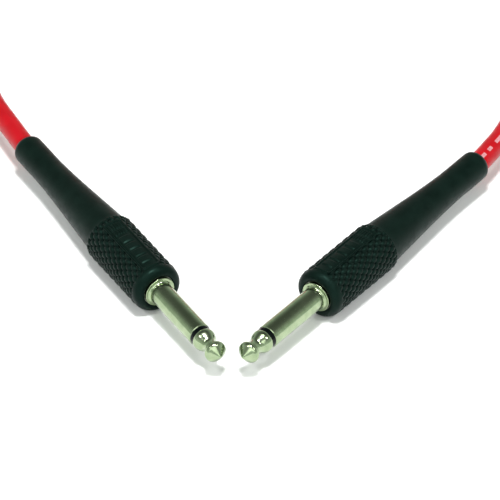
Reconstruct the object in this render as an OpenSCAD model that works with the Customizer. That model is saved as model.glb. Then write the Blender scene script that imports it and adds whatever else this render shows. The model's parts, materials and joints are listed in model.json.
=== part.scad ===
// Instrument cable: two straight 6.35 mm mono plugs with over-moulded grips, joined by one screened cable.
// Both plugs lie on the surface in a V with their tips close together. The spare cable is a tied hank behind them.
// Millimetres, +Z up. The origin is under the middle of the two plugs, on the surface.

/* [Plug contacts] */
// Diameter of the sleeve contact
sleeve_d = 6.35; // [6.2:0.05:6.4]
// Length of the contacts from the face of the collar to the point of the tip
metal_len = 32; // [31:0.1:32.4]
// Length of the sleeve contact in front of the collar
sleeve_len = 21.2; // [20.5:0.1:21.5]
// Thickness of the insulating ring between the sleeve and the tip
ring_len = 1.3; // [1:0.1:1.6]
// Diameter of the collar
collar_d = 8.5; // [8.2:0.1:9]
// Thickness of the collar
collar_t = 1.2; // [1:0.1:1.4]
// Diameter of the rod that carries the tip
rod_d = 2.4; // [2:0.1:2.8]
// Diameter of the insulator tube round the rod
tube_d = 4.4; // [4:0.1:4.6]

/* [Housing] */
// Length of the moulded housing behind the face of the collar
housing_len = 73; // [70:1:76]
// Diameter over the points of the knurled grip
grip_d = 14.2; // [14:0.1:14.6]
// Where the knurling starts, behind the face of the collar
grip_front = 3; // [2.8:0.1:3.4]
// Where the knurling ends, behind the face of the collar
grip_rear = 27; // [26:0.5:28]
// Diameter of the smooth taper just behind the grip
taper_d = 12.6; // [12.4:0.1:13]
// Diameter of the cuff at the tail
cuff_d = 8.3; // [8.3:0.1:8.8]
// Where the taper has come down to the cuff, behind the face of the collar
cuff_front = 60; // [58:1:62]
// Width of the label plate on the grip
plate_w = 6.2; // [5.8:0.1:6.4]
// Height of the label plate above the points of the knurling
plate_rise = 0.15; // [0.1:0.05:0.2]

/* [Cable] */
// Outer diameter of the cable
cable_d = 5.8; // [5.6:0.1:6]
// Diameter over the screening braid
braid_d = 3.9; // [3.8:0.1:4]
// Diameter over the conductive layer under the braid
screen_d = 3; // [2.9:0.1:3.1]
// Diameter over the insulation of the core
core_d = 2.6; // [2.5:0.1:2.7]
// Diameter of the stranded conductor
conductor_d = 0.9; // [0.8:0.1:1]
// Distance from the tail of a housing to the place where its cable flexes
flex_reach = 14; // [13:1:15]

/* [Hank] */
// Distance between the middles of the round ends of the hank
hank_run = 95.4; // [92:0.2:95.6]
// Radius of the outer turns at the round ends, at the middle of the cable
hank_fold = 23.8; // [23:0.2:24]
// Height of the hank
hank_h = 24.8; // [24:0.2:26]
// Width of the strap that ties the hank
tie_w = 16; // [12:1:18]
// Thickness of the strap
tie_t = 1.6; // [1.4:0.1:1.8]

/* [Hidden] */
$fn = 64;

nickel = [0.77, 0.79, 0.72];
brass = [0.78, 0.65, 0.38];
solder_grey = [0.66, 0.68, 0.70];
black = [0.07, 0.10, 0.09];
white = [0.88, 0.88, 0.84];
copper = [0.74, 0.42, 0.25];
red = [0.76, 0.10, 0.13];

// Radial gap between pieces that sit inside each other
gap = 0.03;
sleeve_r = sleeve_d / 2;
rod_r = rod_d / 2;
tube_r = tube_d / 2;
collar_r = collar_d / 2;
cable_r = cable_d / 2;
grip_r = grip_d / 2;
cuff_r = cuff_d / 2;

// Along each plug x = 0 is the face of the collar, the tip points to +x and the tail to -x
tip_base = sleeve_len + ring_len;
// Rear end of the shank that holds the collar in the housing
shank_end = -5;
// Rear end of the thin spigot behind the shank
spigot_end = -8.5;
washer_t = 1;
lug_t = 0.6;
lug_front = spigot_end - washer_t;
// Where each layer of the cable is stripped back to
conductor_front = -12.2;
core_front = -16;
screen_front = -17;
braid_front = -18;
jacket_front = -18.6;
// The layers inside the cable are drawn this far behind the tail
layers_tail = 8;
layers_end = -housing_len - layers_tail;
mould_r = 5.3;
mould_end = -27;
// The hole in the nose that the collar sits in
nose_hole_r = collar_r + 0.12;
// The taper eases into the cuff over this length, from this much more radius
cuff_blend = 12;
cuff_step = 0.61;
tail_round = 2.2;

// A plug is heavy in front and lies level on its grip, with its tail clear of the surface
axis_z = grip_r;

// Each side: [x and y of the tip, turn about +Z, roll of the label plate about the plug's axis]
LEFT = [-8.49, -49.35, -60.1, 6];
RIGHT = [-2.9, -49.45, -126.9, 4];

// Middle of the hank
hank_x = -0.9;
hank_y = 142.2;
// Half width of the hank at its tied waist
waist_half = 11.7;
// The waist is narrow as far as this to each side, and full width from the next
waist_flat = 8;
waist_full = 50;

// Routes of the two leads, from the flexing place of each plug to the hank
left_route = [
    [-68.7, 59.2, 6.4], [-70.2, 63.6, 6], [-71.4, 68.4, 5.6], [-72.1, 73.2, 5.1], [-72.4, 78.4, 4.6],
    [-72.4, 86, 3.9], [-72.4, 95, 3.3], [-72.4, 105, 3], [-72.4, 117, 2.9], [-72.4, 130, 2.9]
];
right_route = [
    [68.3, 51.2, 6.2], [69.5, 55.8, 5.8], [70.2, 60.6, 5.4], [70.5, 65.4, 4.9], [70.6, 70.4, 4.4],
    [70.6, 78, 3.7], [70.6, 87, 3.2], [70.6, 98, 3], [70.6, 113, 2.9], [70.6, 130, 2.9]
];
tube_sides = 12;

// Points of an arc, as [radius, x], round a centre given the same way
function arc(c, r, from, to, n) =
    [for (i = [0 : n]) let (a = from + (to - from) * i / n) [c[0] + r * cos(a), c[1] + r * sin(a)]];

// A solid of revolution about the plug's axis, from points given as [radius, x]
module turned(points) {
    rotate([0, 90, 0]) rotate_extrude() polygon(points);
}

// A round tube or rod about the plug's axis
module ringed(r_out, r_in, from, to) {
    turned([[r_in, from], [r_out, from], [r_out, to], [r_in, to]]);
}

// Puts a plug, drawn along x, in its place on the surface
module place(side) {
    translate([side[0], side[1], axis_z]) rotate([0, 0, side[2]]) translate([-metal_len, 0, 0]) children();
}

// Tip contact: rounded point, ball, neck and shoulder in front, and the rod with its riveted end behind
module tip_pin(side) {
    ball_r = 1.3;
    ball_x = metal_len - 2.95;
    ball_mid = 1.72;
    point_r = 0.65;
    color(nickel) place(side) turned(concat(
        [[0, -11.1], [1.7, -11.1], [1.7, lug_front - lug_t], [rod_r - gap, lug_front - lug_t]],
        [[rod_r - gap, tip_base], [2.85, tip_base], [sleeve_r, tip_base + 0.35], [sleeve_r, tip_base + 1.1]],
        [[2.95, tip_base + 1.9], [2.5, tip_base + 2.7], [2.15, 25.9], [2.12, 26.3]],
        arc([ball_mid, ball_x], ball_r, -50, 50, 10),
        arc([0, metal_len - point_r], point_r, 50, 90, 5)
    ));
}

// Insulating ring that shows between the sleeve and the tip
module tip_ring(side) {
    color(black) place(side)
        turned([[rod_r, sleeve_len], [3.05, sleeve_len], [2.9, tip_base], [rod_r, tip_base]]);
}

// Insulating tube between the rod and the sleeve
module insulator_tube(side) {
    color(white) place(side) ringed(tube_r - gap, rod_r, spigot_end, sleeve_len);
}

// Sleeve contact with its collar, the grooved shank that the housing grips, and the spigot behind
module sleeve(side) {
    fillet = 0.7;
    color(nickel) place(side) turned(concat(
        [[tube_r, spigot_end], [3.2, spigot_end], [3.2, shank_end], [4, shank_end], [4, -3.8], [3.5, -3.8]],
        [[3.5, -2.6], [4, -2.6], [4, -collar_t], [collar_r, -collar_t], [collar_r, -0.15], [collar_r - 0.15, 0]],
        arc([sleeve_r + fillet, fillet], fillet, 270, 180, 6),
        [[sleeve_r, sleeve_len - 0.25], [sleeve_r - 0.25, sleeve_len], [tube_r, sleeve_len]]
    ));
}

// Washer that keeps the tip's lug off the sleeve
module rear_washer(side) {
    color(white) place(side) ringed(3.6, rod_r, lug_front, spigot_end);
}

// Solder lug of the tip: a ring under the riveted end of the rod, and a cranked tab over the conductor
module tip_lug(side) {
    color(brass) place(side) union() {
        ringed(2.6, rod_r, lug_front - lug_t, lug_front);
        translate([-12.4, -1, 1.8]) cube([12.4 + lug_front - lug_t + 0.3, 2, 0.6]);
        translate([-12.4, -1, 0.5]) cube([0.6, 2, 1.9]);
        translate([-15.4, -1, 0.5]) cube([3.6, 2, 0.5]);
    }
}

// Ground clamp: a ring on the sleeve's spigot, a strip to the rear, and an open band crimped round the cable
module ground_clamp(side) {
    band_in = cable_r + gap;
    band_out = band_in + 0.7;
    color(brass) place(side) union() {
        ringed(4.5, 3.2 + gap, shank_end - 0.7, shank_end);
        translate([-23, -1.8, -4.5]) cube([23 + shank_end, 3.6, 0.7]);
        difference() {
            translate([-23, 0, 0]) rotate([0, 90, 0]) cylinder(r = band_out, h = 3.5);
            translate([-24, 0, 0]) rotate([0, 90, 0]) cylinder(r = band_in, h = 6);
            translate([-24, -1.2, 0]) cube([6, 2.4, 6]);
        }
        translate([-23, -1.2, -4]) cube([3.5, 2.4, 0.7]);
    }
}

// Solder between the conductor and the tip's lug
module tip_solder(side) {
    color(solder_grey) place(side) difference() {
        translate([-13.9, 0, 0]) sphere(r = 1.15);
        translate([-16, -2, 0.5]) cube([4, 4, 2]);
        translate([-18, 0, 0]) rotate([0, 90, 0]) cylinder(r = conductor_d / 2, h = 8);
    }
}

// Solder between the twisted braid and the ground clamp
module ground_solder(side) {
    color(solder_grey) place(side) difference() {
        translate([-14, 0, -3.4]) sphere(r = 1);
        translate([-23, -1.8, -4.5]) cube([23, 3.6, 0.7]);
        pigtail();
    }
}

// The end of the braid, twisted together and led down to the ground clamp
module pigtail() {
    translate([-18.2, 0, -2]) rotate([0, 106, 0]) cylinder(r = 0.45, h = 4.5);
}

// Stranded conductor in the middle of the cable
module conductor(side) {
    color(copper) place(side) ringed(conductor_d / 2, 0, layers_end, conductor_front);
}

// Insulation round the conductor
module core_insulation(side) {
    color(white) place(side) ringed(core_d / 2, conductor_d / 2 + gap, layers_end, core_front);
}

// Conductive layer that drains handling noise
module inner_screen(side) {
    color(black) place(side) ringed(screen_d / 2, core_d / 2 + gap, layers_end, screen_front);
}

// Copper braid, with its twisted end
module braid(side) {
    color(copper) place(side) union() {
        ringed(braid_d / 2, screen_d / 2 + gap, layers_end, braid_front);
        pigtail();
    }
}

// Outer jacket of the cable from the clamp to the place behind the tail where it flexes
module cable_end(side) {
    flex_x = -housing_len - flex_reach;
    color(red) place(side) difference() {
        union() {
            ringed(cable_r, 0, flex_x, jacket_front);
            translate([flex_x, 0, 0]) sphere(r = cable_r);
        }
        translate([layers_end - gap, 0, 0]) rotate([0, 90, 0])
            cylinder(r = braid_d / 2 + gap, h = jacket_front - layers_end + 1);
    }
}

// Inner moulding: it seals the lug, the clamp and the joints before the housing is moulded over it
module inner_mould(side) {
    color(white) place(side) difference() {
        ringed(mould_r - gap, 0, mould_end, -collar_t);
        ringed(4 + gap, 0, shank_end, 0);
        ringed(4.5 + gap, 0, shank_end - 0.7 - gap, shank_end + gap);
        ringed(3.2 + gap, 0, spigot_end, shank_end);
        ringed(3.6 + gap, 0, lug_front - gap, spigot_end + gap);
        ringed(3.4, 0, jacket_front - 0.6, lug_front + gap);
        ringed(cable_r + gap, 0, mould_end - 1, jacket_front);
        ringed(cable_r + 0.7 + 2 * gap, 0, -23 - gap, -19.4);
        translate([-23 - gap, -1.8 - gap, -4.5 - gap]) cube([23 + shank_end, 3.6 + 2 * gap, 2]);
    }
}

// Outline of the housing as [radius, x]: nose, grip, smooth taper, cuff and rounded tail
function housing_outline() = concat(
    arc([nose_hole_r + 0.4, -0.9], 0.4, 180, 90, 4),
    arc([4.9, -2.4], 1.9, 90, 10, 8),
    [[grip_r - 0.4, -grip_front + 0.3], [grip_r, -grip_front - 0.2], [grip_r, -grip_rear + 0.3]],
    [[grip_r - 0.3, -grip_rear], [taper_d / 2, -grip_rear - 0.6]],
    [for (i = [0 : 8]) let (k = 1 - i / 8) [cuff_r + cuff_step * pow(k, 1.3), -cuff_front + cuff_blend * k]],
    arc([cuff_r - tail_round, -housing_len + tail_round], tail_round, 0, -60, 8)
);

// Over-moulded housing with its grip and label plate, round the inner moulding and the cable
module housing(side) {
    outline = housing_outline();
    last = outline[len(outline) - 1];
    color(black) place(side) difference() {
        union() {
            turned(concat([[cable_r + gap, -1]], outline, [[cable_r + gap, last[1]]]));
            rotate([side[3], 0, 0]) label_plate();
        }
        ringed(mould_r, 0, mould_end, -collar_t);
        ringed(nose_hole_r, 0, -collar_t - 0.01, 0.5);
        ringed(cable_r + gap, 0, -housing_len - 1, 0);
    }
}

// Raised plate that interrupts the knurling, on the +Z side of the grip
module label_plate() {
    margin = 0.5;
    intersection() {
        ringed(grip_r + plate_rise, mould_r + 0.3, -grip_rear + margin, -grip_front - margin);
        translate([-grip_rear, -plate_w / 2, 0]) cube([grip_rear - grip_front, plate_w, grip_r + 1]);
    }
}

// Direction of a route at each of its points
function heading(route, i) =
    let (a = route[max(i - 1, 0)], b = route[min(i + 1, len(route) - 1)]) (b - a) / norm(b - a);

// One ring of points round the route, square to it
function ring_points(p, h) =
    let (across = cross(h, [0, 0, 1]) / norm(cross(h, [0, 0, 1])), up = cross(across, h))
    [for (k = [0 : tube_sides - 1]) let (a = 360 * k / tube_sides) p + cable_r * (across * cos(a) + up * sin(a))];

// Faces of a tube with flat ends, from rings of points
function tube_faces(rings) = concat(
    [[for (k = [0 : tube_sides - 1]) k]],
    [for (i = [0 : rings - 2], k = [0 : tube_sides - 1]) let (n = (k + 1) % tube_sides)
        [i * tube_sides + k, (i + 1) * tube_sides + k, (i + 1) * tube_sides + n, i * tube_sides + n]],
    [[for (k = [tube_sides - 1 : -1 : 0]) (rings - 1) * tube_sides + k]]
);

// Cable along a route
module lead(route) {
    points = [for (i = [0 : len(route) - 1]) each ring_points(route[i], heading(route, i))];
    color(red) polyhedron(points, tube_faces(len(route)));
}

// Half width of the hank at a distance from its middle
function hank_half(x) =
    let (full = hank_fold + cable_r, s = min(max((abs(x) - waist_flat) / (waist_full - waist_flat), 0), 1))
    full - (full - waist_half) * (1 + cos(180 * s)) / 2;

// Outer shape of the tied hank: round ends, a drawn-in waist, and a notch for the strap under it
module hank() {
    half = hank_run / 2;
    steps = 26;
    xs = [for (i = [-steps : steps]) half * i / steps];
    color(red) translate([hank_x, hank_y, 0]) difference() {
        linear_extrude(height = hank_h) union() {
            for (s = [-1, 1]) translate([s * half, 0]) circle(r = hank_fold + cable_r);
            polygon(concat([for (x = xs) [x, -hank_half(x)]], [for (x = xs) [-x, hank_half(-x)]]));
        }
        translate([-waist_flat, -waist_half - 1, -1]) cube([2 * waist_flat, 2 * waist_half + 2, 1 + tie_t]);
    }
}

// Strap round the waist of the hank
module hank_tie() {
    corner = tie_t;
    out_y = waist_half + tie_t;
    out_z = hank_h + tie_t;
    color(black) translate([hank_x - tie_w / 2, hank_y, 0]) difference() {
        union() {
            translate([0, -out_y + corner, 0]) cube([tie_w, 2 * (out_y - corner), out_z]);
            translate([0, -out_y, corner]) cube([tie_w, 2 * out_y, out_z - 2 * corner]);
            for (y = [-out_y + corner, out_y - corner], z = [corner, out_z - corner])
                translate([0, y, z]) rotate([0, 90, 0]) cylinder(r = corner, h = tie_w);
        }
        translate([-1, -waist_half, tie_t]) cube([tie_w + 2, 2 * waist_half, hank_h - tie_t]);
    }
}

tip_pin(LEFT);  // left_tip_pin
tip_ring(LEFT);  // left_tip_ring
insulator_tube(LEFT);  // left_insulator_tube
sleeve(LEFT);  // left_sleeve
rear_washer(LEFT);  // left_rear_washer
tip_lug(LEFT);  // left_tip_lug
ground_clamp(LEFT);  // left_ground_clamp
tip_solder(LEFT);  // left_tip_solder
ground_solder(LEFT);  // left_ground_solder
conductor(LEFT);  // left_conductor
core_insulation(LEFT);  // left_core_insulation
inner_screen(LEFT);  // left_inner_screen
braid(LEFT);  // left_braid
inner_mould(LEFT);  // left_inner_mould
housing(LEFT);  // left_housing
cable_end(LEFT);  // left_cable_end
tip_pin(RIGHT);  // right_tip_pin
tip_ring(RIGHT);  // right_tip_ring
insulator_tube(RIGHT);  // right_insulator_tube
sleeve(RIGHT);  // right_sleeve
rear_washer(RIGHT);  // right_rear_washer
tip_lug(RIGHT);  // right_tip_lug
ground_clamp(RIGHT);  // right_ground_clamp
tip_solder(RIGHT);  // right_tip_solder
ground_solder(RIGHT);  // right_ground_solder
conductor(RIGHT);  // right_conductor
core_insulation(RIGHT);  // right_core_insulation
inner_screen(RIGHT);  // right_inner_screen
braid(RIGHT);  // right_braid
inner_mould(RIGHT);  // right_inner_mould
housing(RIGHT);  // right_housing
cable_end(RIGHT);  // right_cable_end
lead(left_route);  // left_lead
lead(right_route);  // right_lead
hank();
hank_tie();
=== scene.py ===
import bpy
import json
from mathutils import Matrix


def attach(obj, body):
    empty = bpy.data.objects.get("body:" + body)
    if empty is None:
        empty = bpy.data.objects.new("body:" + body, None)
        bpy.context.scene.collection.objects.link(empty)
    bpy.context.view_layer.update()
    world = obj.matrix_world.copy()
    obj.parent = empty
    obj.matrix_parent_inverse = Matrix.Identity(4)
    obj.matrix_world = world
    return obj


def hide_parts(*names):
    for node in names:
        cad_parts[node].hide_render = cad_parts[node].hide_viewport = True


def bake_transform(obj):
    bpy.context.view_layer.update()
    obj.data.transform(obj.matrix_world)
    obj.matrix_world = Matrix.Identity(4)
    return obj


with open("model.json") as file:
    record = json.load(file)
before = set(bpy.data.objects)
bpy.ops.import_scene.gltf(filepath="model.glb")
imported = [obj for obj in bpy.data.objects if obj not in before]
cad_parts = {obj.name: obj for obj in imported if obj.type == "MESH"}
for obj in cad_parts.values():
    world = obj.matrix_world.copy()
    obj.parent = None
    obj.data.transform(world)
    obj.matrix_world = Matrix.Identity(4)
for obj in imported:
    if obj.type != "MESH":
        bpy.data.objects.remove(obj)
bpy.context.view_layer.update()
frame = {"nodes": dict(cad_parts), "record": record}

import json
import math

import bmesh
import bpy
from mathutils import Matrix, Vector

MM = 0.001
SIDES = ("left", "right")
# Lengths are in millimetres unless a comment or a name says otherwise
CABLE_D = 5.8
CABLE_R = CABLE_D / 2
HOUSING_LEN = 73.0
# The record's mount on each plug lies this far in front of the collar
MOUNT_AHEAD = 10.5


# ---------------------------------------------------------------- helpers

def smooth(t):
    """0 before t = 0, 1 after t = 1, and an even S curve between."""
    t = min(max(t, 0.0), 1.0)
    return t * t * (3 - 2 * t)


def arc(centre, r, start, end, n):
    """Points (radius, x) of an arc in a lathe profile, with angles in degrees."""
    out = []
    for i in range(n + 1):
        a = math.radians(start + (end - start) * i / n)
        out.append((centre[0] + r * math.cos(a), centre[1] + r * math.sin(a)))
    return out


def mesh_object(name, verts, faces):
    mesh = bpy.data.meshes.new(name)
    mesh.from_pydata([tuple(v) for v in verts], [], faces)
    mesh.update()
    obj = bpy.data.objects.new(name, mesh)
    bpy.context.scene.collection.objects.link(obj)
    return obj


def shade(obj, angle=40):
    """Smooth shading, with edges sharper than the angle kept crisp."""
    mesh = obj.data
    bm = bmesh.new()
    bm.from_mesh(mesh)
    bmesh.ops.recalc_face_normals(bm, faces=bm.faces)
    limit = math.radians(angle)
    for face in bm.faces:
        face.smooth = True
    for edge in bm.edges:
        edge.smooth = not (len(edge.link_faces) == 2 and edge.calc_face_angle(0) > limit)
    bm.to_mesh(mesh)
    bm.free()
    return obj


def lathe(name, profile, plug):
    """A closed solid turned about the plug's axis. Points are (radius, x). A profile that starts
    and ends on the axis is closed by points there, and any other is a ring."""
    sides = 128
    verts, faces, rings = [], [], []
    for r, x in profile:
        if r < 1e-6:
            rings.append([len(verts)] * sides)
            verts.append((x * MM, 0, 0))
            continue
        rings.append(list(range(len(verts), len(verts) + sides)))
        for j in range(sides):
            a = 2 * math.pi * j / sides
            verts.append((x * MM, r * math.cos(a) * MM, r * math.sin(a) * MM))
    pairs = list(zip(rings, rings[1:]))
    if profile[0][0] > 1e-6:
        pairs.append((rings[-1], rings[0]))
    for a, b in pairs:
        for j in range(sides):
            k = (j + 1) % sides
            corners = []
            for v in (a[j], a[k], b[k], b[j]):
                if v not in corners:
                    corners.append(v)
            faces.append(corners)
    obj = mesh_object(name, verts, faces)
    obj.matrix_world = plug.matrix
    return shade(obj, 30)


# ---------------------------------------------------------------- the two plugs' own frames

class Plug:
    """A plug's frame: x = 0 at the face of the collar, +x to the tip, +z up."""

    def __init__(self, side):
        mount = next(m for m in frame["record"]["mounts"] if m["name"] == side + "_plug_contact")
        self.body = side + "_plug"
        self.axis = Vector(mount["axis"]).normalized()
        self.origin = Vector(mount["pos_m"]) - self.axis * MOUNT_AHEAD * MM
        across = Vector((0, 0, 1)).cross(self.axis)
        self.matrix = Matrix.Translation(self.origin) @ Matrix(
            [
                [self.axis.x, across.x, 0, 0],
                [self.axis.y, across.y, 0, 0],
                [self.axis.z, across.z, 1, 0],
                [0, 0, 0, 1],
            ]
        )

    def at(self, x):
        """A point of the plug's axis: x in millimetres from the collar, as metres in the frame."""
        return self.matrix @ Vector((x * MM, 0, 0))


PLUGS = {side: Plug(side) for side in SIDES}


# ---------------------------------------------------------------- camera

camera_data = bpy.data.cameras.new("camera")
camera = bpy.data.objects.new("camera", camera_data)
bpy.context.scene.collection.objects.link(camera)
bpy.context.scene.camera = camera
camera_data.sensor_width = 36
camera_data.sensor_fit = "HORIZONTAL"
camera_data.lens = 871.3
camera_data.clip_start = 0.05
camera_data.clip_end = 30
# In metres. The camera is far away, with a long lens, for very little perspective
CAMERA_TARGET = Vector((-0.00086, -0.00084, 0.005))
CAMERA_ELEVATION = math.radians(37.8)
CAMERA_DISTANCE = 3.2
camera.location = CAMERA_TARGET + CAMERA_DISTANCE * Vector(
    (0, -math.cos(CAMERA_ELEVATION), math.sin(CAMERA_ELEVATION))
)
camera.rotation_euler = (CAMERA_TARGET - camera.location).to_track_quat("-Z", "Y").to_euler()

# ---------------------------------------------------------------- cable: its whole route

# The hank: round ends at +-HANK_HALF, inner turns of radius INNER_R, outer turns one cable out
HANK_X = -0.9
HANK_Y = 143.0
HANK_HALF = 47.7
INNER_R = 18.0
# Half width of the inner turns at the waist, how far from the middle the waist is straight, and
# where the turns are back to their full width
WAIST_IN = 3.0
WAIST_FLAT = 8.0
WAIST_FULL = 46.0
STRAP_T = 1.6
STRAP_W = 16.0
# Distance between turns that lie beside or on each other
LAYER = CABLE_D

# Points of the two leads beyond the plugs, as in the CAD source
LEFT_ROUTE = [
    (-68.7, 59.2, 6.4), (-70.2, 63.6, 6), (-71.4, 68.4, 5.6), (-72.1, 73.2, 5.1),
    (-72.4, 78.4, 4.6), (-72.4, 86, 3.9), (-72.4, 95, 3.3), (-72.4, 105, 3), (-72.4, 117, 2.9),
]
RIGHT_ROUTE = [
    (68.3, 51.2, 6.2), (69.5, 55.8, 5.8), (70.2, 60.6, 5.4), (70.5, 65.4, 4.9), (70.6, 70.4, 4.4),
    (70.6, 78, 3.7), (70.6, 87, 3.2), (70.6, 98, 3), (70.6, 113, 2.9), (70.6, 130, 2.9),
]
# Between a tail and its route the cable bends as a soft cable does
AFTER_TAIL = {
    "left": [(-62.3, 44.8, 7.0), (-64.2, 49.0, 6.87), (-66.1, 53.2, 6.7)],
    "right": [(62.2, 38.1, 6.98), (64.05, 41.6, 6.8), (65.8, 45.0, 6.6), (67.2, 48.3, 6.4)],
}
# Where each plug's own stretch of cable starts in its housing, and the point of the route
# where it ends
STRETCH_FROM = {"left": -67, "right": -64}
SEAM_AT = 3
# Distance between points, on the plugs' own stretches of cable and on the leads
LINE_STEP = 1
LEAD_STEP = 3
# At the left end a turn climbs on to the next one: where from, past the outermost point, and over
# what length
CLIMB_FROM, CLIMB_LEN = -25, 32


def inner_half(x):
    """Half width of the inner turns at a distance from the hank's middle, and its slope."""
    s = min(max((abs(x) - WAIST_FLAT) / (WAIST_FULL - WAIST_FLAT), 0), 1)
    y = INNER_R - (INNER_R - WAIST_IN) * (1 + math.cos(math.pi * s)) / 2
    slope = (INNER_R - WAIST_IN) * math.pi / 2 * math.sin(math.pi * s) / (WAIST_FULL - WAIST_FLAT)
    return y, math.copysign(slope, x) if 0 < s < 1 else 0.0


def turn_point(p, outward):
    """A point of one turn. p runs 0-1 over the left end's rear quarter, 1-2 along the rear, 2-4
    round the right end, 4-5 along the front and 5-6 over the left end's front quarter."""
    if p < 1 or p >= 5:
        a = math.radians(90 * p if p < 1 else 90 * (p - 6))
        r = INNER_R + outward
        return -HANK_HALF - r * math.cos(a), r * math.sin(a)
    if 2 <= p < 4:
        a = math.radians(90 * (3 - p))
        r = INNER_R + outward
        return HANK_HALF + r * math.cos(a), r * math.sin(a)
    rear = p < 2
    x = -HANK_HALF + 2 * HANK_HALF * (p - 1) if rear else HANK_HALF - 2 * HANK_HALF * (p - 4)
    y, slope = inner_half(x)
    n = math.hypot(slope, 1)
    x, y = x - outward * slope / n, y + outward / n
    return x, y if rear else -y


def turn_place(k, p):
    """How far outwards and how high turn k is at p: three outer turns, four inner ones, and a last
    half. Each change of level is a start and a length, in a call of smooth()."""
    quarter = math.pi / 2 * (INNER_R + LAYER)
    run = 2 * HANK_HALF
    # Distance past the left end's outermost point, and past the right end's
    if p < 3:
        past = quarter * p if p < 1 else quarter + run * (p - 1)
    else:
        past = quarter * (p - 6) if p >= 5 else -quarter - run * (5 - p)
    past_right = quarter * (p - 3) if p < 4 else quarter + run * (p - 4)
    if k < 3:
        # The outer turns go up: level k + 1 along the rear, k along the front, and up again to the
        # next turn
        if p < 3:
            level = k + smooth((past - CLIMB_FROM) / CLIMB_LEN)
        else:
            level = k + 1 - smooth((past_right - 8) / 34)
            if p >= 4.3 and k < 2:
                level = k + smooth((past + 64) / 45) + smooth((past - CLIMB_FROM) / CLIMB_LEN)
            elif p >= 4.3:
                level = k + 2 * smooth((past + 82) / 80)
        return LAYER, CABLE_R + LAYER * level
    if k < 7:
        # The inner turns go down a level along the rear, and the first of them moves inwards there
        level = 7 - k if p < 1 else 6 - k
        if 1 <= p < 2:
            level = 7 - k - smooth((past - quarter - 7) / 40)
        outward = LAYER * (1 - smooth(past / 68)) if k == 3 and p < 2 else 0.0
        return outward, CABLE_R + LAYER * level
    # The last half turn moves outwards on the surface
    return LAYER * (smooth((past - 4) / 50) if p < 3 else 1), CABLE_R


def over_strap(x):
    """How much higher a turn lies where it is on the strap, in the middle of the hank."""
    return STRAP_T * (1 - smooth((abs(x) - WAIST_FLAT) / 16))


def winding():
    """The hank's whole winding: seven and a half turns, from the left end's outermost point."""
    points = []
    quarter, run = 12, 28
    stations = []
    for section, steps in ((0, quarter), (1, run), (2, 2 * quarter), (4, run), (5, quarter)):
        width = 2 if section == 2 else 1
        stations += [section + width * i / steps for i in range(steps)]
    for k in range(8):
        for p in stations:
            if k == 7 and p > 3:
                break
            outward, z = turn_place(k, p)
            x, y = turn_point(p, outward)
            points.append(Vector((HANK_X + x, HANK_Y + y, z + over_strap(x))))
    return points


def spline(points, step):
    """A smooth curve through the points, with a point about every step."""
    pts = [Vector(p) for p in points]
    pts = [2 * pts[0] - pts[1]] + pts + [2 * pts[-1] - pts[-2]]
    out = []
    for i in range(1, len(pts) - 2):
        p0, p1, p2, p3 = pts[i - 1: i + 3]
        t1 = (p2 - p1).length
        t0 = (p1 - p0).length
        t2 = (p3 - p2).length
        m1 = (p2 - p1) / t1 * 0.5 + (p1 - p0) / t0 * 0.5
        m2 = (p2 - p1) / t1 * 0.5 + (p3 - p2) / t2 * 0.5
        n = max(1, round(t1 / step))
        for j in range(n):
            t = j / n
            h00, h10 = 2 * t**3 - 3 * t**2 + 1, t**3 - 2 * t**2 + t
            h01, h11 = -2 * t**3 + 3 * t**2, t**3 - t**2
            out.append(h00 * p1 + h10 * t1 * m1 + h01 * p2 + h11 * t1 * m2)
    out.append(pts[-2])
    return out


# Each plug's own stretch of cable, the lead that goes on from it, and the heading at their seam
stretch, lead, seam_heading = {}, {}, {}
for side, route in (("left", LEFT_ROUTE), ("right", RIGHT_ROUTE)):
    start = STRETCH_FROM[side]
    inside = [PLUGS[side].at(x) / MM for x in (start, (start - HOUSING_LEN) / 2, -HOUSING_LEN)]
    line = spline(inside + AFTER_TAIL[side] + route, LINE_STEP)
    seam = Vector(route[SEAM_AT])
    at = min(range(len(line)), key=lambda i: (line[i] - seam).length)
    stretch[side] = line[: at + 1]
    lead[side] = line[at::LEAD_STEP // LINE_STEP]
    seam_heading[side] = (line[at + 1] - line[at - 1]).normalized()

# The left lead climbs on to the outer turns just before it reaches the hank
climb = []
for i in range(8):
    past = CLIMB_FROM + 1 + LEAD_STEP * i
    x = HANK_X - HANK_HALF - INNER_R - LAYER
    z = CABLE_R + LAYER * smooth((past - CLIMB_FROM) / CLIMB_LEN)
    climb.append(Vector((x, HANK_Y + past, z)))
lead_in = [p for p in lead["left"] if p.y < HANK_Y + CLIMB_FROM]
lead_out = [p for p in reversed(lead["right"]) if p.y < HANK_Y - LEAD_STEP]
main_line = lead_in + climb + winding() + lead_out


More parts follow.
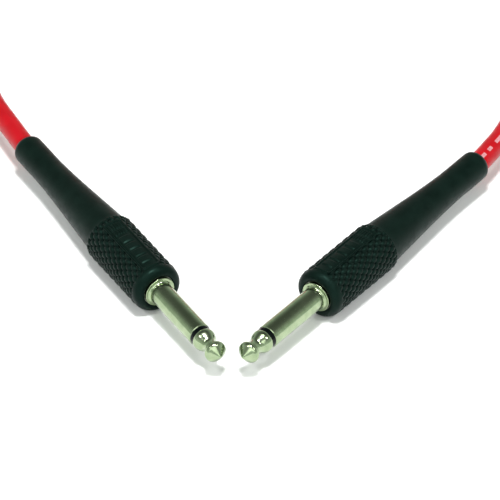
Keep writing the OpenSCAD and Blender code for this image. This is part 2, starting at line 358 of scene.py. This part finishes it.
def tube(name, line, sides, print_at, ends):
    """A piece of cable along a line, with u along it in metres and v round it in turns. v = 0 is
    where the print is, and print_at says how far round from the top it lies at each end, in turns.
    The headings in ends, where given, make the tube's ends meet its neighbours' face to face."""
    n = len(line)
    heading = [(line[min(i + 1, n - 1)] - line[max(i - 1, 0)]).normalized() for i in range(n)]
    heading[0] = ends[0] or heading[0]
    heading[-1] = ends[1] or heading[-1]
    top = Vector((0, 0, 1))
    up = (top - top.dot(heading[0]) * heading[0]).normalized()
    verts, faces, along = [], [], [0.0]
    for i in range(1, n):
        along.append(along[-1] + (line[i] - line[i - 1]).length)
    for i in range(n):
        up = (up - up.dot(heading[i]) * heading[i]).normalized()
        side_way = up.cross(heading[i])
        for j in range(sides):
            a = 2 * math.pi * j / sides
            verts.append((line[i] + CABLE_R * (up * math.cos(a) + side_way * math.sin(a))) * MM)
    # The rings' first corner may have turned away from the top by the far end
    true_up = (top - top.dot(heading[-1]) * heading[-1]).normalized()
    turned = math.atan2(true_up.dot(up.cross(heading[-1])), true_up.dot(up)) / (2 * math.pi)
    shift = (print_at[0], print_at[1] + turned)
    for i in range(n - 1):
        for j in range(sides):
            k = (j + 1) % sides
            faces.append((i * sides + j, i * sides + k, (i + 1) * sides + k, (i + 1) * sides + j))
    faces.append(tuple(reversed(range(sides))))
    faces.append(tuple(range((n - 1) * sides, n * sides)))
    obj = mesh_object(name, verts, faces)
    uv = obj.data.uv_layers.new(name="cable")
    for poly in obj.data.polygons:
        cols = [v % sides for v in poly.vertices]
        wraps = len(poly.vertices) == 4 and max(cols) - min(cols) > 1
        for loop, vertex, col in zip(poly.loop_indices, poly.vertices, cols):
            u = along[vertex // sides]
            v = (col + sides if wraps and col == 0 else col) / sides
            v -= shift[0] + (shift[1] - shift[0]) * u / along[-1]
            uv.data[loop].uv = (u * MM, v)
    return shade(obj, 60)


# ---------------------------------------------------------------- materials

# Radius of the grip over the lands of its knurling, and the knurling's ends along the plug
GRIP_R = 7.1
KNURL_FRONT, KNURL_REAR = -3.0, -26.9
# The print on the cable: a long dash and two short ones, over and over
DASH_REPEAT = 15.4
DASHES = ((0.8, 7.0), (8.6, 10.4), (12.0, 13.8))
DASH_HALF = 0.5


class Paint:
    """A node material, named after its slot in the record, with short calls for the few nodes that
    the finishes are made of."""

    def __init__(self, name):
        self.material = bpy.data.materials.new(name)
        self.material.use_nodes = True
        self.slot = name
        self.tree = self.material.node_tree
        self.shader = self.tree.nodes["Principled BSDF"]

    def node(self, kind, **settings):
        node = self.tree.nodes.new(kind)
        for key, value in settings.items():
            setattr(node, key, value)
        return node

    def put(self, socket, value):
        if isinstance(value, bpy.types.NodeSocket):
            self.tree.links.new(value, socket)
        else:
            socket.default_value = value

    def where(self, scale=(1, 1, 1), uv=None):
        """Places on the surface: in the piece's own frame, or along and round a cable."""
        source = self.node("ShaderNodeUVMap", uv_map=uv) if uv else self.node("ShaderNodeTexCoord")
        mapping = self.node("ShaderNodeMapping")
        mapping.inputs["Scale"].default_value = scale
        self.put(mapping.inputs["Vector"], source.outputs["UV" if uv else "Object"])
        return mapping.outputs["Vector"]

    def noise(self, place, scale, detail=2.0, rough=0.5):
        node = self.node("ShaderNodeTexNoise")
        self.put(node.inputs["Vector"], place)
        self.put(node.inputs["Scale"], scale)
        self.put(node.inputs["Detail"], detail)
        self.put(node.inputs["Roughness"], rough)
        return node.outputs["Fac"]

    def math(self, how, a, b=0.5, c=0.5, clamp=False):
        node = self.node("ShaderNodeMath", operation=how, use_clamp=clamp)
        for socket, value in zip(node.inputs, (a, b, c)):
            self.put(socket, value)
        return node.outputs[0]

    def spread(self, value, low, high, out_low, out_high):
        """The value from low to high, turned into out_low to out_high."""
        node = self.node("ShaderNodeMapRange")
        self.put(node.inputs["Value"], value)
        names = ("From Min", "From Max", "To Min", "To Max")
        for name, end in zip(names, (low, high, out_low, out_high)):
            self.put(node.inputs[name], end)
        return node.outputs["Result"]

    def mix(self, fac, a, b):
        node = self.node("ShaderNodeMix", data_type="RGBA")
        self.put(node.inputs["Factor"], fac)
        for socket, value in ((node.inputs[6], a), (node.inputs[7], b)):
            self.put(socket, value if isinstance(value, bpy.types.NodeSocket) else (*value, 1))
        return node.outputs[2]

    def bump(self, height, distance, strength=1.0, after=None):
        node = self.node("ShaderNodeBump")
        self.put(node.inputs["Height"], height)
        self.put(node.inputs["Distance"], distance)
        self.put(node.inputs["Strength"], strength)
        if after is not None:
            self.put(node.inputs["Normal"], after)
        return node.outputs["Normal"]

    def set(self, **values):
        """Sockets of the shader, by name with _ for a space."""
        for key, value in values.items():
            socket = self.shader.inputs[key.replace("_", " ")]
            self.put(socket, (*value, 1) if isinstance(value, tuple) and len(value) == 3 else value)
        return self


def moulded(name, dark, light, rough, specular=0.5):
    """Moulded plastic: a faint mottle in the colour, uneven gloss and a fine eroded grain."""
    p = Paint(name)
    at = p.where()
    mottle = p.noise(at, 260, 4)
    p.set(Base_Color=p.mix(p.spread(mottle, 0.35, 0.65, 0, 1), dark, light))
    p.set(Roughness=p.spread(p.noise(at, 700, 3), 0.3, 0.7, rough - 0.06, rough + 0.08))
    p.set(Normal=p.bump(p.noise(at, 9000, 2), 0.00002, 0.5), Specular_IOR_Level=specular)
    return p


def gripped(name):
    """The housing's soft plastic: dull, and darkened by painted shade, down in the knurling;
    handled smooth on top.
    """
    p = moulded(name, (0.0013, 0.0044, 0.0032), (0.0027, 0.0074, 0.0056), 0.40, specular=0.10)
    split = p.node("ShaderNodeSeparateXYZ")
    p.put(split.inputs[0], p.where())
    x, y, z = split.outputs
    out = p.math("SQRT", p.math("ADD", p.math("MULTIPLY", y, y), p.math("MULTIPLY", z, z)))
    past_rear = p.math("GREATER_THAN", x, (KNURL_REAR - 0.1) * MM)
    in_knurl = p.math("MULTIPLY", past_rear, p.math("LESS_THAN", x, (KNURL_FRONT + 0.1) * MM))
    sunk = p.spread(out, (GRIP_R - 0.65) * MM, (GRIP_R - 0.1) * MM, 1, 0)
    # How far down in the knurling a point lies: this sets the painted shade and the extra roughness
    deep = p.math("MULTIPLY", in_knurl, sunk)
    inputs = p.shader.inputs
    colour, rough = (inputs[key].links[0].from_socket for key in ("Base Color", "Roughness"))
    # Painted shade: the colour goes nearly black down in the grooves, where shade falls
    p.set(Base_Color=p.mix(deep, colour, (0.0002, 0.0006, 0.0005)))
    p.set(Roughness=p.math("MULTIPLY_ADD", deep, 0.35, rough), Specular_Tint=(0.45, 1.0, 0.82))
    return p


def metal(name, dark, light, rough, lines=0.000002):
    """Metal turned on a lathe: fine rings round the axis, and a little tarnish."""
    p = Paint(name)
    at = p.where()
    rings = p.noise(p.where((24000, 300, 300)), 1.0, 2)
    haze = p.noise(at, 420, 4)
    p.set(Base_Color=p.mix(p.spread(haze, 0.35, 0.68, 0, 1), light, dark), Metallic=1.0)
    wear = p.math("ADD", p.math("MULTIPLY", haze, 0.5), p.math("MULTIPLY", rings, 0.5))
    p.set(Roughness=p.spread(wear, 0.35, 0.65, rough - 0.03, rough + 0.05))
    p.set(Normal=p.bump(rings, lines, 0.6), Anisotropic=0.25)
    return p


def jacket(name):
    """Red jacket: rubbery plastic with a soft gloss, and plain printed dashes along one side."""
    p = Paint(name)
    # The layer's u is in metres and its v in turns, and these make both millimetres
    along, round_it = 1000.0, math.pi * CABLE_D
    place = p.where((along, round_it, 0), uv="cable")
    mottle = p.noise(place, 0.16, 3)
    streaks = p.noise(p.where((60, 22 * round_it, 0), uv="cable"), 0.05, 2)
    red = p.mix(p.spread(mottle, 0.35, 0.65, 0, 1), (0.33, 0.0022, 0.0058), (0.39, 0.0034, 0.0080))
    split = p.node("ShaderNodeSeparateXYZ")
    p.put(split.inputs[0], p.where((1, 1, 1), uv="cable"))
    u = p.math("MODULO", p.math("MULTIPLY", split.outputs[0], along), DASH_REPEAT)
    dash = None
    for start, end in DASHES:
        inside = p.math("MULTIPLY", p.math("GREATER_THAN", u, start), p.math("LESS_THAN", u, end))
        dash = inside if dash is None else p.math("MAXIMUM", dash, inside)
    # Turns away from the print's line, either way round. Whole turns keep the sum above 0
    turned = p.math("FRACT", p.math("ADD", split.outputs[1], 20.5))
    turn = p.math("ABSOLUTE", p.math("SUBTRACT", turned, 0.5))
    worn = p.spread(p.noise(place, 1.6, 4, 0.7), 0.34, 0.44, 0.25, 1)
    printed = p.math("MULTIPLY", dash, p.math("LESS_THAN", turn, DASH_HALF / round_it))
    ink = p.math("MULTIPLY", printed, worn, clamp=True)
    p.set(Base_Color=p.mix(p.math("MULTIPLY", ink, 0.82), red, (0.50, 0.27, 0.29)))
    p.set(Roughness=p.spread(p.noise(place, 0.9, 3), 0.3, 0.7, 0.30, 0.40))
    p.set(Normal=p.bump(streaks, 0.00003, 0.35, p.bump(p.noise(place, 6.0, 2), 0.00001, 0.4)))
    p.set(Specular_IOR_Level=0.24, Specular_Tint=(1.0, 0.45, 0.55))
    p.set(Subsurface_Weight=0.05, Subsurface_Scale=0.0015)
    return p


def woven(name, dark, light):
    """Strap webbing: a plain weave of soft threads."""
    p = Paint(name)
    at = p.where()
    waves = []
    for direction in ("X", "Z", "Y"):
        wave = p.node("ShaderNodeTexWave", wave_type="BANDS", bands_direction=direction)
        p.put(wave.inputs["Vector"], at)
        p.put(wave.inputs["Scale"], 520)
        p.put(wave.inputs["Distortion"], 0.4)
        waves.append(wave.outputs["Fac"])
    weave = p.math("MULTIPLY", waves[0], p.math("MAXIMUM", waves[1], waves[2]))
    fuzz = p.noise(at, 5200, 3)
    tone = p.math("ADD", p.math("MULTIPLY", weave, 0.6), p.math("MULTIPLY", fuzz, 0.4))
    p.set(Base_Color=p.mix(tone, dark, light))
    p.set(Roughness=p.spread(fuzz, 0.3, 0.7, 0.7, 0.92), Normal=p.bump(weave, 0.00018, 0.8))
    p.set(Sheen_Weight=0.08)
    return p


def braided(name, dark, light):
    """Fine copper strands laid both ways round the cable."""
    p = Paint(name)
    bands = []
    for turn in (0.6, -0.6):
        wave = p.node("ShaderNodeTexWave", wave_type="BANDS", bands_direction="X")
        mapping = p.node("ShaderNodeMapping")
        mapping.inputs["Rotation"].default_value = (0, turn, turn)
        p.put(mapping.inputs["Vector"], p.where())
        p.put(wave.inputs["Vector"], mapping.outputs["Vector"])
        p.put(wave.inputs["Scale"], 900)
        bands.append(wave.outputs["Fac"])
    strands = p.math("MAXIMUM", bands[0], bands[1])
    p.set(Base_Color=p.mix(strands, dark, light), Metallic=1.0)
    p.set(Roughness=p.spread(strands, 0, 1, 0.42, 0.26), Normal=p.bump(strands, 0.00008, 0.7))
    return p


GRIP = gripped("black_grip")
INSULATOR = moulded(
    "black_insulator", (0.0010, 0.0025, 0.0020), (0.0018, 0.0036, 0.0030), 0.16, specular=0.15
)
NICKEL = metal("nickel", (0.27, 0.345, 0.205), (0.345, 0.42, 0.265), 0.19)
BRASS = metal("brass", (0.52, 0.36, 0.13), (0.66, 0.48, 0.20), 0.24)
SOLDER = metal("solder", (0.42, 0.43, 0.44), (0.60, 0.61, 0.62), 0.30, 0.00002)
COPPER = braided("copper", (0.34, 0.13, 0.06), (0.72, 0.34, 0.19))
WHITE = moulded("white_plastic", (0.66, 0.66, 0.61), (0.74, 0.74, 0.69), 0.36)
CONDUCTIVE = moulded("black_conductive", (0.010, 0.010, 0.011), (0.020, 0.020, 0.021), 0.6)
JACKET = jacket("red_jacket")
STRAP = woven("strap", (0.008, 0.009, 0.009), (0.030, 0.032, 0.031))


def finish_with(obj, paint):
    """Finishes a piece of this script's."""
    obj.data.materials.clear()
    obj.data.materials.append(paint.material)


def finish_cad(node, paint):
    """Finishes a CAD node."""
    for slot in frame["nodes"][node].material_slots:
        slot.material = paint.material


# ---------------------------------------------------------------- strap round the hank's waist

def rounded_path(corners, radius, steps=8):
    """A closed path round discs of a radius at the corners, as if pulled tight over them."""
    out = []
    n = len(corners)
    for i in range(n):
        before, here, after = (Vector(corners[j % n]) for j in (i - 1, i, i + 1))
        d1, d2 = (here - before).normalized(), (after - here).normalized()
        a1 = math.atan2(d1.x, -d1.y)
        a2 = math.atan2(d2.x, -d2.y)
        while a2 > a1 + 1e-6:
            a2 -= 2 * math.pi
        for s in range(steps + 1):
            a = a1 + (a2 - a1) * s / steps
            out.append((here.x + radius * math.cos(a), here.y + radius * math.sin(a)))
    return out


def band(verts, faces, rings, closed):
    """Adds rings of points, and the faces between each ring and the next."""
    first, n = len(verts), len(rings[0])
    for ring in rings:
        verts.extend(ring)
    for i in range(len(rings) if closed else len(rings) - 1):
        for j in range(n):
            a, b = first + i * n, first + (i + 1) % len(rings) * n
            k = (j + 1) % n
            faces.append((a + j, a + k, b + k, b + j))
    if not closed:
        faces.append([first + j for j in reversed(range(n))])
        faces.append([first + (len(rings) - 1) * n + j for j in range(n)])


def strap():
    """A woven band, with the free end of its hook-and-loop closure lying on top."""
    # Middles of the turns at the corners of the bundle, as (y, z)
    top = 21.9
    corners = [(-8.8, 4.5), (-8.8, 16.1), (-3, top), (8.8, top), (8.8, 4.5)]
    inner = rounded_path(corners, CABLE_R)
    outer = rounded_path(corners, CABLE_R + STRAP_T)
    # Across the band, as (x, share of the thickness): thin rounded edges, with a stitched line a
    # little way in
    half = STRAP_W / 2
    across = [
        (-half, 0.5), (-half + 0.25, 0.86), (-half + 0.7, 0.98), (-half + 1.3, 0.98),
        (-half + 1.6, 0.9), (-half + 1.9, 0.98), (-3, 1), (0, 1),
    ]
    across += [(-x, t) for x, t in reversed(across[:-1])]
    verts, faces, rings = [], [], []
    for (y0, z0), (y1, z1) in zip(inner, outer):
        ring = [(x, y0 + (y1 - y0) * t, z0 + (z1 - z0) * t) for x, t in across]
        for x, t in reversed(across):
            ring.append((x, y0 + (y1 - y0) * (1 - t) * 0.3, z0 + (z1 - z0) * (1 - t) * 0.3))
        rings.append(ring)
    band(verts, faces, rings, closed=True)
    # The free end lies on the band, and its outer corners are rounded
    on_band = top + CABLE_R + STRAP_T
    columns = 8
    ys = [-2.6 + 0.46 * i for i in range(25)]
    rings = []
    for y in ys:
        end = min(abs(y - ys[0]), abs(ys[-1] - y))
        width = half - 0.6 - 1.6 * (1 - smooth(end / 2)) ** 2 if y > 3 else half - 0.6
        xs = [-width + 2 * width * s / columns for s in range(columns + 1)]
        rise = smooth((end + 0.25) / 0.5)
        ring = []
        for s, x in enumerate(xs):
            thick = 0.85 if 0 < s < columns else 0.6
            ring.append((x, y, on_band + thick * rise))
        rings.append(ring + [(x, y, on_band - 0.1) for x in reversed(xs)])
    band(verts, faces, rings, closed=False)
    places = [((HANK_X + x) * MM, (HANK_Y + y) * MM, z * MM) for x, y, z in verts]
    return shade(mesh_object("strap", places, faces))


tie = strap()
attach(tie, "cable")
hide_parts("hank_tie")
finish_with(tie, STRAP)

# ---------------------------------------------------------------- cable: its three pieces

# The print is underneath on the left, and on top and a little towards the viewer on the right
PRINT_AT = {"left": 0.5, "right": -0.07}


def cable(piece, line, lay, **more):
    """Gives a piece of the cable the red jacket's finish."""
    finish_with(piece, JACKET)


print_ends = (PRINT_AT["left"], -PRINT_AT["right"])
end_headings = (seam_heading["left"], -seam_heading["right"])
main_cable = tube("cable", main_line, 24, print_ends, end_headings)
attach(main_cable, "cable")
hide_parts("left_lead", "right_lead", "hank")
cable(main_cable, main_line, "coiled", with_pieces=["strap"])
for side in SIDES:
    plug = PLUGS[side]
    print_ends = (PRINT_AT[side], PRINT_AT[side])
    piece = tube(side + "_cable", stretch[side], 48, print_ends, (None, seam_heading[side]))
    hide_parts(side + "_cable_end")
    cable(piece, stretch[side], "loose")
    tail = plug.at(-HOUSING_LEN)
    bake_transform(piece)

# ---------------------------------------------------------------- layers inside the cable

def shortened(name, node, plug, end):
    """A copy of a CAD node, with all that lies behind a place on the plug's axis moved up to it."""
    bm = bmesh.new()
    bm.from_mesh(frame["nodes"][node].data)
    for vert in bm.verts:
        behind = end * MM - (vert.co - plug.origin).dot(plug.axis)
        if behind > 0:
            vert.co += plug.axis * behind
    bmesh.ops.remove_doubles(bm, verts=bm.verts, dist=0.001 * MM)
    mesh = bpy.data.meshes.new(name)
    bm.to_mesh(mesh)
    bm.free()
    obj = bpy.data.objects.new(name, mesh)
    bpy.context.scene.collection.objects.link(obj)
    return shade(obj)


# The CAD's layers reach into the cable that bends, so these stop just inside the tail
LAYERS_END = -HOUSING_LEN + 2
LAYERS = (
    ("conductor", COPPER), ("core_insulation", WHITE), ("inner_screen", CONDUCTIVE),
    ("braid", COPPER),
)
for side in SIDES:
    for layer, paint in LAYERS:
        node = side + "_" + layer
        piece = shortened(node + "_layer", node, PLUGS[side], LAYERS_END)
        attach(piece, PLUGS[side].body)
        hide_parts(node)
        finish_with(piece, paint)

# ---------------------------------------------------------------- plug contacts

def pin_profile():
    """From the rod's riveted end over the rod, the bead, the neck and the ball to the point."""
    rod = [
        (0, -11.1), (1.45, -11.1), (1.64, -11.0), (1.7, -10.8), (1.7, -10.1), (1.17, -10.1),
        (1.17, 22.5),
    ]
    bead = [
        (2.78, 22.5), (2.96, 22.56), (3.1, 22.7), (3.165, 22.9), (3.175, 23.2), (3.165, 23.55),
        (3.12, 23.8), (3.03, 24.1), (2.9, 24.45), (2.72, 24.85), (2.52, 25.22), (2.34, 25.55),
        (2.21, 25.85),
    ]
    neck = [
        (2.135, 26.1), (2.115, 26.35), (2.13, 26.6), (2.18, 26.9), (2.27, 27.25), (2.38, 27.6),
        (2.49, 27.88),
    ]
    ball = arc((1.72, 29.05), 1.3, -53, 50, 22)
    point = arc((0, 31.35), 0.65, 50, 90, 8)
    point[-1] = (0.0, 32.0)
    return rod + bead + neck + ball + point


def sleeve_profile():
    """From the spigot over the grooved shank, the collar and the fillet to the chamfered front."""
    back = [
        (2.2, -8.5), (3.2, -8.5), (3.2, -5), (3.9, -5), (4, -4.9), (4, -3.8), (3.5, -3.8),
        (3.5, -2.6), (4, -2.6), (4, -1.2), (4.17, -1.2),
    ]
    collar = arc((4.17, -1.12), 0.08, -90, 0, 3) + arc((4.05, -0.2), 0.2, 0, 90, 8)
    fillet = arc((3.875, 0.7), 0.7, 270, 180, 12)
    front = [(3.175, 20.9), (3.16, 20.98), (2.97, 21.17), (2.9, 21.2), (2.2, 21.2)]
    return back + collar + fillet[1:] + front


def ring_profile():
    """The insulating ring between the sleeve and the bead, a little narrower than both."""
    return [
        (1.2, 21.2), (3.04, 21.2), (3.06, 21.3), (3.04, 21.5), (2.96, 22.2), (2.92, 22.44),
        (2.86, 22.5), (1.2, 22.5),
    ]


for side in SIDES:
    plug = PLUGS[side]
    for name, profile, paint, node in (
        ("tip", pin_profile(), NICKEL, "tip_pin"),
        ("tip_insulator", ring_profile(), INSULATOR, "tip_ring"),
        ("sleeve_contact", sleeve_profile(), NICKEL, "sleeve"),
    ):
        piece = lathe(side + "_" + name, profile, plug)
        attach(piece, plug.body)
        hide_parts(side + "_" + node)
        finish_with(piece, paint)

# ---------------------------------------------------------------- housings

COLUMNS = 352
ROW_STEP = 0.2
# Spacing of the grooves along the plug, and round it in degrees
PITCH = 3.0
PITCH_ANGLE = 360 / 22
KNURL_DEPTH = 0.78
PLATE_FRONT, PLATE_REAR = -3.1, -24.8
PLATE_HALF = math.radians(22.5) * GRIP_R
PLATE_SUNK = 0.1
# Heights over the plate's sunk panel
EDGE_HIGH, RIB_HIGH, BLOCK_HIGH = 0.32, 0.26, 0.24
# How far each plug has rolled, in degrees from its plate straight up
PLATE_ROLL = {"left": 6.0, "right": 4.0}
# A groove crossing of each knurl: distance along the plug, and degrees round it
CROSSING = {"left": (-14.33, 161.9), "right": (-13.8, 16.4)}
# Four plain raised blocks on the plate, as (from, to, half width)
BLOCKS = [(-17.9, -15.5, 1.55), (-14.6, -12.2, 1.55), (-11.3, -8.9, 1.55), (-8.0, -5.6, 1.55)]
# Fine ribs at the plate's rear, in two columns as (from, to), with their half width and spacing
RIB_COLUMNS = [(-23.75, -21.75), (-21.2, -19.2)]
RIBS_HALF, RIB_PITCH = 2.2, 0.78


def land(p):
    """Height of the knurl across its grooves, which are 1 apart: 0 in a groove, 1 on a land."""
    p = abs(p - round(p)) * 2
    return 1 - (1 - p) ** 2.6


def knurl(side, x, theta):
    """Height of the knurl over its deepest points, which are where two grooves cross."""
    x0, turn0 = CROSSING[side]
    u, w = (x - x0) / PITCH, (theta - turn0) / PITCH_ANGLE
    return KNURL_DEPTH * (land(u - w) + land(u + w)) / 2


def within(x, start, end):
    """1 between two places along the plug and 0 beyond them, with soft edges."""
    return smooth((x - start + 0.1) / 0.2) * smooth((end - x + 0.1) / 0.2)


def plate(x, y):
    """Height of the label plate over its sunk panel, or None outside it. y is measured across."""
    # The plate's corners are round in front and nearly square at the rear
    corner_r = 1.3 if x > -12 else 0.3
    mid, half = (PLATE_FRONT + PLATE_REAR) / 2, (PLATE_FRONT - PLATE_REAR) / 2
    dx, dy = abs(x - mid) - half + corner_r, abs(y) - PLATE_HALF + corner_r
    inside = -(math.hypot(max(dx, 0), max(dy, 0)) + min(max(dx, dy), 0) - corner_r)
    if inside < -0.01:
        return None
    height = EDGE_HIGH * smooth((inside + 0.16) / 0.2) * (1 - smooth((inside - 0.34) / 0.2))
    if abs(y) < RIBS_HALF:
        off_rib = abs(y / RIB_PITCH - round(y / RIB_PITCH)) * RIB_PITCH
        on_rib = 1 - smooth((off_rib - 0.12) / 0.14)
        for start, end in RIB_COLUMNS:
            height = max(height, RIB_HIGH * within(x, start, end) * on_rib)
    for start, end, width in BLOCKS:
        on_block = 1 - smooth((abs(y) - width) / 0.14)
        height = max(height, BLOCK_HIGH * within(x, start, end) * on_block)
    return height


def housing(side):
    """The whole housing as one lathe grid, with the knurling and the plate as real relief. Its rows
    are (radius, x, whether the relief is on them)."""
    plug = PLUGS[side]
    plate_at = 90 + PLATE_ROLL[side]
    nose = arc((4.79, -0.92), 0.42, 180, 92, 6) + arc((5.0, -2.42), 1.92, 88, 12, 12)
    nose += [(6.93, -2.3), (6.98, -2.62)]
    rear = [(6.62, -27.0), (6.4, -27.25), (6.3, -27.6), (6.25, -28.6)]
    # A straight taper, which eases into the cuff over its last 12 mm
    taper = []
    for i in range(1, 13):
        taper.append((6.25 + (4.76 - 6.25) * i / 12, -28.6 - (48 - 28.6) * i / 12))
    for i in range(1, 9):
        k = 1 - i / 8
        taper.append((4.15 + 0.61 * k**1.3, -60 + 12 * k))
    tail = [(4.15, -65), (4.15, -69.5)] + arc((1.95, -70.8), 2.2, 0, -58, 12)
    bore = [
        (2.98, -72.72), (2.93, -72.6), (2.93, -50), (2.93, -27), (5.3, -27), (5.3, -1.2),
        (4.37, -1.2),
    ]
    rows = [(r, x, False) for r, x in nose]
    steps = round((KNURL_FRONT - KNURL_REAR) / ROW_STEP)
    for i in range(steps + 1):
        rows.append((GRIP_R, KNURL_FRONT + (KNURL_REAR - KNURL_FRONT) * i / steps, True))
    rows += [(r, x, False) for r, x in rear + taper + tail + bore]
    verts, faces = [], []
    for r, x, cut in rows:
        for j in range(COLUMNS):
            theta = plate_at + 360 * j / COLUMNS
            radius = r
            if cut:
                y = math.radians(((theta - plate_at + 180) % 360) - 180) * GRIP_R
                raised = plate(x, y) if abs(y) < PLATE_HALF + 0.05 else None
                if raised is None:
                    # The relief fades out at the knurling's ends
                    fade = smooth((KNURL_FRONT + 0.1 - x) / 0.3)
                    fade *= smooth((x - KNURL_REAR + 0.1) / 0.3)
                    deep = KNURL_DEPTH - knurl(side, x, theta)
                    radius = GRIP_R - 0.12 * (1 - fade) - deep * fade
                else:
                    radius = GRIP_R - PLATE_SUNK + raised
            a = math.radians(theta)
            verts.append((x * MM, radius * math.cos(a) * MM, radius * math.sin(a) * MM))
    for i in range(len(rows)):
        n = (i + 1) % len(rows)
        for j in range(COLUMNS):
            k = (j + 1) % COLUMNS
            faces.append((i * COLUMNS + j, i * COLUMNS + k, n * COLUMNS + k, n * COLUMNS + j))
    obj = mesh_object(side + "_grip", verts, faces)
    obj.matrix_world = plug.matrix
    return shade(obj, 48)


for side in SIDES:
    piece = housing(side)
    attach(piece, side + "_plug")
    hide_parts(side + "_housing")
    finish_with(piece, GRIP)
    for node, paint in LAYERS + (
        ("insulator_tube", WHITE), ("rear_washer", WHITE), ("inner_mould", WHITE),
        ("housing", GRIP), ("tip_lug", BRASS), ("ground_clamp", BRASS), ("tip_solder", SOLDER),
        ("ground_solder", SOLDER), ("tip_pin", NICKEL), ("sleeve", NICKEL),
        ("tip_ring", INSULATOR), ("cable_end", JACKET),
    ):
        finish_cad(side + "_" + node, paint)
for node in ("left_lead", "right_lead", "hank"):
    finish_cad(node, JACKET)
finish_cad("hank_tie", STRAP)

# ---------------------------------------------------------------- floor and light

# From here on, places and sizes are in metres
FLOOR_HALF = 3.0
corners = [(FLOOR_HALF * x, FLOOR_HALF * y, 0) for x, y in ((-1, -1), (1, -1), (1, 1), (-1, 1))]
floor = mesh_object("floor", corners, [(0, 1, 2, 3)])
paper = Paint("paper")
paper_place = paper.where()
mottle = paper.noise(paper_place, 3, 3)
paper.set(Base_Color=paper.mix(mottle, (0.86, 0.87, 0.86), (0.90, 0.90, 0.90)))
paper.set(Roughness=0.9, Specular_IOR_Level=0.1)
paper.set(Normal=paper.bump(paper.noise(paper_place, 900, 3), 0.00005, 0.3))
floor.data.materials.append(paper.material)

world = bpy.data.worlds.new("world")
bpy.context.scene.world = world
world.use_nodes = True
# A dim studio, darkest overhead, so that the plated contacts show the bright floor against it
sky = world.node_tree.nodes
ways = sky.new("ShaderNodeTexCoord")
split = sky.new("ShaderNodeSeparateXYZ")
height = sky.new("ShaderNodeMapRange")
height.interpolation_type = "SMOOTHSTEP"
for name, value in (("From Min", 0.05), ("From Max", 0.88), ("To Min", 0.88), ("To Max", 0.10)):
    height.inputs[name].default_value = value
world.node_tree.links.new(ways.outputs["Generated"], split.inputs[0])
world.node_tree.links.new(split.outputs["Z"], height.inputs["Value"])
world.node_tree.links.new(height.outputs["Result"], sky["Background"].inputs["Strength"])
sky["Background"].inputs["Color"].default_value = (0.90, 1.0, 0.93, 1)


def area_light(name, place, size, power):
    """A rectangular light that points at the middle of the view."""
    data = bpy.data.lights.new(name, "AREA")
    data.shape = "RECTANGLE"
    data.size, data.size_y = size
    data.energy = power
    light = bpy.data.objects.new(name, data)
    bpy.context.scene.collection.objects.link(light)
    light.location = place
    light.rotation_euler = (-Vector(place)).to_track_quat("-Z", "Y").to_euler()


area_light("overhead", (0, -0.2, 1.7), (0.34, 0.34), 32)
area_light("fill", (0, -1.6, 1.25), (2.4, 1.2), 18)
area_light("small_left", (-1.0, -0.5, 1.3), (0.14, 0.14), 6)
area_light("small_right", (1.0, -0.5, 1.3), (0.14, 0.14), 6)
# The plain transform keeps the floor white
bpy.context.scene.view_settings.view_transform = "Standard"
